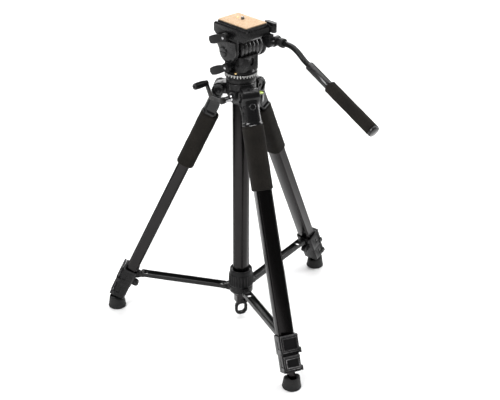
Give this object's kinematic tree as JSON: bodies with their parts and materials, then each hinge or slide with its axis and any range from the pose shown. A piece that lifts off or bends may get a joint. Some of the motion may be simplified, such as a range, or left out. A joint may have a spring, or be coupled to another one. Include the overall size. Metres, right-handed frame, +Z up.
{
  "type": "tripod with fluid head",
  "caption": "Black video tripod with a fluid pan-and-tilt head, quick-release cork plate, pan handle, cranked column, mid-level spreader and telescoping flip-lock legs.",
  "frame": {"origin": "on the ground, under the middle of the bounding box", "axes": "+Z up; -Y towards the front leg; the pan handle hangs over the front leg's right side"},
  "size_m": [0.4976, 0.4388, 0.649],
  "materials": {
    "black_plastic": "fine-textured moulded black plastic",
    "black_tube": "black anodised, satin",
    "black_steel": "black satin paint",
    "bright_steel": "bright plated",
    "foam": "closed-cell foam, fine grain",
    "rubber": "matt rubber",
    "cork": "light sheet cork",
    "vial": "clear yellow-green bubble level"
  },
  "bodies": {
    "frame": {"crown": "black_plastic", "guide_tube": "black_tube", "crown_level": "vial"},
    "hub": {"spreader_hub": "black_plastic"},
    "collar": {"spreader_collar": "black_plastic"},
    "hook": {"ballast_hook": "black_plastic"},
    "crank": {"crank": "black_steel"},
    "crank_knob": {"crank_knob": "black_plastic"},
    "column": {"center_column": "black_tube", "head_base": "black_plastic", "degree_ring": "black_plastic"},
    "pan_head": {"head_body": "black_plastic", "drag_cartridge": "black_plastic"},
    "pan_knob": {"pan_knob": "black_plastic"},
    "tilt_head": {"tilt_axle": "bright_steel", "tilt_platform": "black_plastic", "side_cover": "black_plastic"},
    "tilt_knob": {"tilt_knob": "black_plastic"},
    "camera_plate": {"release_plate": "black_plastic", "cork_pad": "cork"},
    "camera_screw": {"camera_screw": "bright_steel"},
    "release_lever": {"release_lever": "black_plastic"},
    "handle": {"handle_clamp": "black_plastic", "handle_arm": "black_steel", "handle_core": "black_tube", "handle_grip": "foam"},
    "front_casting": {"front_leg_casting": "black_plastic"},
    "front_strut": {"front_strut": "black_steel"},
    "front_leg": {"front_foam_grip": "foam", "front_upper_tube": "black_tube", "front_upper_lock": "black_plastic"},
    "front_upper_lever": {"front_upper_lever": "black_plastic"},
    "front_middle": {"front_middle_tube": "black_tube", "front_lower_lock": "black_plastic"},
    "front_lower_lever": {"front_lower_lever": "black_plastic"},
    "front_lower": {"front_lower_tube": "black_tube"},
    "front_foot": {"front_foot": "rubber"},
    "right_casting": {"right_leg_casting": "black_plastic"},
    "right_strut": {"right_strut": "black_steel"},
    "right_leg": {"right_foam_grip": "foam", "right_upper_tube": "black_tube", "right_upper_lock": "black_plastic"},
    "right_upper_lever": {"right_upper_lever": "black_plastic"},
    "right_middle": {"right_middle_tube": "black_tube", "right_lower_lock": "black_plastic"},
    "right_lower_lever": {"right_lower_lever": "black_plastic"},
    "right_lower": {"right_lower_tube": "black_tube"},
    "right_foot": {"right_foot": "rubber"},
    "left_casting": {"left_leg_casting": "black_plastic"},
    "left_strut": {"left_strut": "black_steel"},
    "left_leg": {"left_foam_grip": "foam", "left_upper_tube": "black_tube", "left_upper_lock": "black_plastic"},
    "left_upper_lever": {"left_upper_lever": "black_plastic"},
    "left_middle": {"left_middle_tube": "black_tube", "left_lower_lock": "black_plastic"},
    "left_lower_lever": {"left_lower_lever": "black_plastic"},
    "left_lower": {"left_lower_tube": "black_tube"},
    "left_foot": {"left_foot": "rubber"}
  },
  "joints": [
    {"name": "hub_slide", "type": "slide", "parent": "frame", "child": "hub", "axis": [0, 0, 1], "range_m": [0, 0.15366]},
    {"name": "collar_twist", "type": "hinge", "parent": "hub", "child": "collar", "pos_m": [0, 0.06633, 0.098], "axis": [0, 0, 1], "range_deg": [0, 40]},
    {"name": "hook_swing", "type": "hinge", "parent": "frame", "child": "hook", "pos_m": [0, 0.06633, 0.042], "axis": [1, 0, 0], "range_deg": [-18, 18]},
    {"name": "column_lift", "type": "slide", "parent": "frame", "child": "column", "axis": [0, 0, 1], "range_m": [0, 0.25]},
    {"name": "crank_turn", "type": "hinge", "parent": "frame", "child": "crank", "pos_m": [0.00337, 0.05798, 0.503], "axis": [-0.9272, -0.3746, 0], "range_deg": [0, 3581.49]},
    {"name": "crank_knob_spin", "type": "hinge", "parent": "crank", "child": "crank_knob", "pos_m": [-0.06577, 0.07696, 0.5265], "axis": [-0.9272, -0.3746, 0], "continuous": true},
    {"name": "head_pan", "type": "hinge", "parent": "column", "child": "pan_head", "pos_m": [0, 0.06633, 0.55], "axis": [0, 0, 1], "continuous": true},
    {"name": "pan_knob_turn", "type": "hinge", "parent": "pan_head", "child": "pan_knob", "pos_m": [-0.0316, 0.04837, 0.564], "axis": [0.9291, 0.3697, 0], "range_deg": [0, 30]},
    {"name": "head_tilt", "type": "hinge", "parent": "pan_head", "child": "tilt_head", "pos_m": [-0.00074, 0.06819, 0.592], "axis": [0.9291, 0.3697, 0], "range_deg": [-60, 50]},
    {"name": "tilt_knob_turn", "type": "hinge", "parent": "tilt_head", "child": "tilt_knob", "pos_m": [-0.03345, 0.05302, 0.621], "axis": [0.9291, 0.3697, 0], "range_deg": [0, 70]},
    {"name": "plate_slide", "type": "slide", "parent": "tilt_head", "child": "camera_plate", "axis": [-0.3697, 0.9291, 0], "range_m": [-0.012, 0.012]},
    {"name": "screw_turn", "type": "hinge", "parent": "camera_plate", "child": "camera_screw", "pos_m": [0.00539, 0.0717, 0.64], "axis": [0, 0, 1], "continuous": true},
    {"name": "release_lever_swing", "type": "hinge", "parent": "tilt_head", "child": "release_lever", "pos_m": [0.0354, 0.0788, 0.634], "axis": [0, 0, 1], "range_deg": [0, 35]},
    {"name": "handle_fold", "type": "hinge", "parent": "tilt_head", "child": "handle", "pos_m": [0.05844, 0.03577, 0.607], "axis": [0.9291, 0.3697, 0], "range_deg": [-25, 40]},
    {"name": "front_casting_swing", "type": "hinge", "parent": "frame", "child": "front_casting", "pos_m": [0, 0.02633, 0.508], "axis": [1, 0, 0], "range_deg": [0, 22.01]},
    {"name": "front_strut_swing", "type": "hinge", "parent": "hub", "child": "front_strut", "pos_m": [0, 0.03233, 0.072], "axis": [1, 0, 0], "range_deg": [0, 93.26]},
    {"name": "front_leg_swing", "type": "hinge", "parent": "front_strut", "child": "front_leg", "pos_m": [0, -0.14077, 0.08388], "axis": [1, 0, 0], "range_deg": [-71.26, 0]},
    {"name": "front_upper_lever_flip", "type": "hinge", "parent": "front_leg", "child": "front_upper_lever", "pos_m": [0, -0.19332, 0.07529], "axis": [1, 0, 0], "range_deg": [0, 100]},
    {"name": "front_middle_slide", "type": "slide", "parent": "front_leg", "child": "front_middle", "axis": [0, -0.4226, -0.9063], "range_m": [0, 0.3]},
    {"name": "front_lower_lever_flip", "type": "hinge", "parent": "front_middle", "child": "front_lower_lever", "pos_m": [0, -0.20679, 0.04405], "axis": [1, 0, 0], "range_deg": [0, 100]},
    {"name": "front_lower_slide", "type": "slide", "parent": "front_middle", "child": "front_lower", "axis": [0, -0.4226, -0.9063], "range_m": [0, 0.3]},
    {"name": "front_foot_tilt", "type": "hinge", "parent": "front_lower", "child": "front_foot", "pos_m": [0, -0.19898, 0.01724], "axis": [1, 0, 0], "range_deg": [-22, 12]},
    {"name": "right_casting_swing", "type": "hinge", "parent": "frame", "child": "right_casting", "pos_m": [0.03464, 0.08633, 0.508], "axis": [-0.5, 0.866, 0], "range_deg": [0, 22.01]},
    {"name": "right_strut_swing", "type": "hinge", "parent": "hub", "child": "right_strut", "pos_m": [0.02944, 0.08333, 0.072], "axis": [-0.5, 0.866, 0], "range_deg": [0, 93.26]},
    {"name": "right_leg_swing", "type": "hinge", "parent": "right_strut", "child": "right_leg", "pos_m": [0.17935, 0.16988, 0.08388], "axis": [-0.5, 0.866, 0], "range_deg": [-71.26, 0]},
    {"name": "right_upper_lever_flip", "type": "hinge", "parent": "right_leg", "child": "right_upper_lever", "pos_m": [0.22487, 0.19615, 0.07529], "axis": [-0.5, 0.866, 0], "range_deg": [0, 100]},
    {"name": "right_middle_slide", "type": "slide", "parent": "right_leg", "child": "right_middle", "axis": [0.366, 0.2113, -0.9063], "range_m": [0, 0.3]},
    {"name": "right_lower_lever_flip", "type": "hinge", "parent": "right_middle", "child": "right_lower_lever", "pos_m": [0.23652, 0.20289, 0.04405], "axis": [-0.5, 0.866, 0], "range_deg": [0, 100]},
    {"name": "right_lower_slide", "type": "slide", "parent": "right_middle", "child": "right_lower", "axis": [0.366, 0.2113, -0.9063], "range_m": [0, 0.3]},
    {"name": "right_foot_tilt", "type": "hinge", "parent": "right_lower", "child": "right_foot", "pos_m": [0.22977, 0.19898, 0.01724], "axis": [-0.5, 0.866, 0], "range_deg": [-22, 12]},
    {"name": "left_casting_swing", "type": "hinge", "parent": "frame", "child": "left_casting", "pos_m": [-0.03464, 0.08633, 0.508], "axis": [-0.5, -0.866, 0], "range_deg": [0, 22.01]},
    {"name": "left_strut_swing", "type": "hinge", "parent": "hub", "child": "left_strut", "pos_m": [-0.02944, 0.08333, 0.072], "axis": [-0.5, -0.866, 0], "range_deg": [0, 93.26]},
    {"name": "left_leg_swing", "type": "hinge", "parent": "left_strut", "child": "left_leg", "pos_m": [-0.17935, 0.16988, 0.08388], "axis": [-0.5, -0.866, 0], "range_deg": [-71.26, 0]},
    {"name": "left_upper_lever_flip", "type": "hinge", "parent": "left_leg", "child": "left_upper_lever", "pos_m": [-0.22487, 0.19615, 0.07529], "axis": [-0.5, -0.866, 0], "range_deg": [0, 100]},
    {"name": "left_middle_slide", "type": "slide", "parent": "left_leg", "child": "left_middle", "axis": [-0.366, 0.2113, -0.9063], "range_m": [0, 0.3]},
    {"name": "left_lower_lever_flip", "type": "hinge", "parent": "left_middle", "child": "left_lower_lever", "pos_m": [-0.23652, 0.20289, 0.04405], "axis": [-0.5, -0.866, 0], "range_deg": [0, 100]},
    {"name": "left_lower_slide", "type": "slide", "parent": "left_middle", "child": "left_lower", "axis": [-0.366, 0.2113, -0.9063], "range_m": [0, 0.3]},
    {"name": "left_foot_tilt", "type": "hinge", "parent": "left_lower", "child": "left_foot", "pos_m": [-0.22977, 0.19898, 0.01724], "axis": [-0.5, -0.866, 0], "range_deg": [-22, 12]}
  ],
  "couplings": [
    {"joint": "crank_turn", "follows": "column_lift", "rad_per_m": 250},
    {"joint": "front_casting_swing", "follows": "hub_slide", "rad_per_m": 2.4988},
    {"joint": "front_strut_swing", "follows": "hub_slide", "rad_per_m": 10.592},
    {"joint": "front_leg_swing", "follows": "hub_slide", "rad_per_m": -8.0928},
    {"joint": "right_casting_swing", "follows": "hub_slide", "rad_per_m": 2.4988},
    {"joint": "right_strut_swing", "follows": "hub_slide", "rad_per_m": 10.592},
    {"joint": "right_leg_swing", "follows": "hub_slide", "rad_per_m": -8.0928},
    {"joint": "left_casting_swing", "follows": "hub_slide", "rad_per_m": 2.4988},
    {"joint": "left_strut_swing", "follows": "hub_slide", "rad_per_m": 10.592},
    {"joint": "left_leg_swing", "follows": "hub_slide", "rad_per_m": -8.0928}
  ]
}
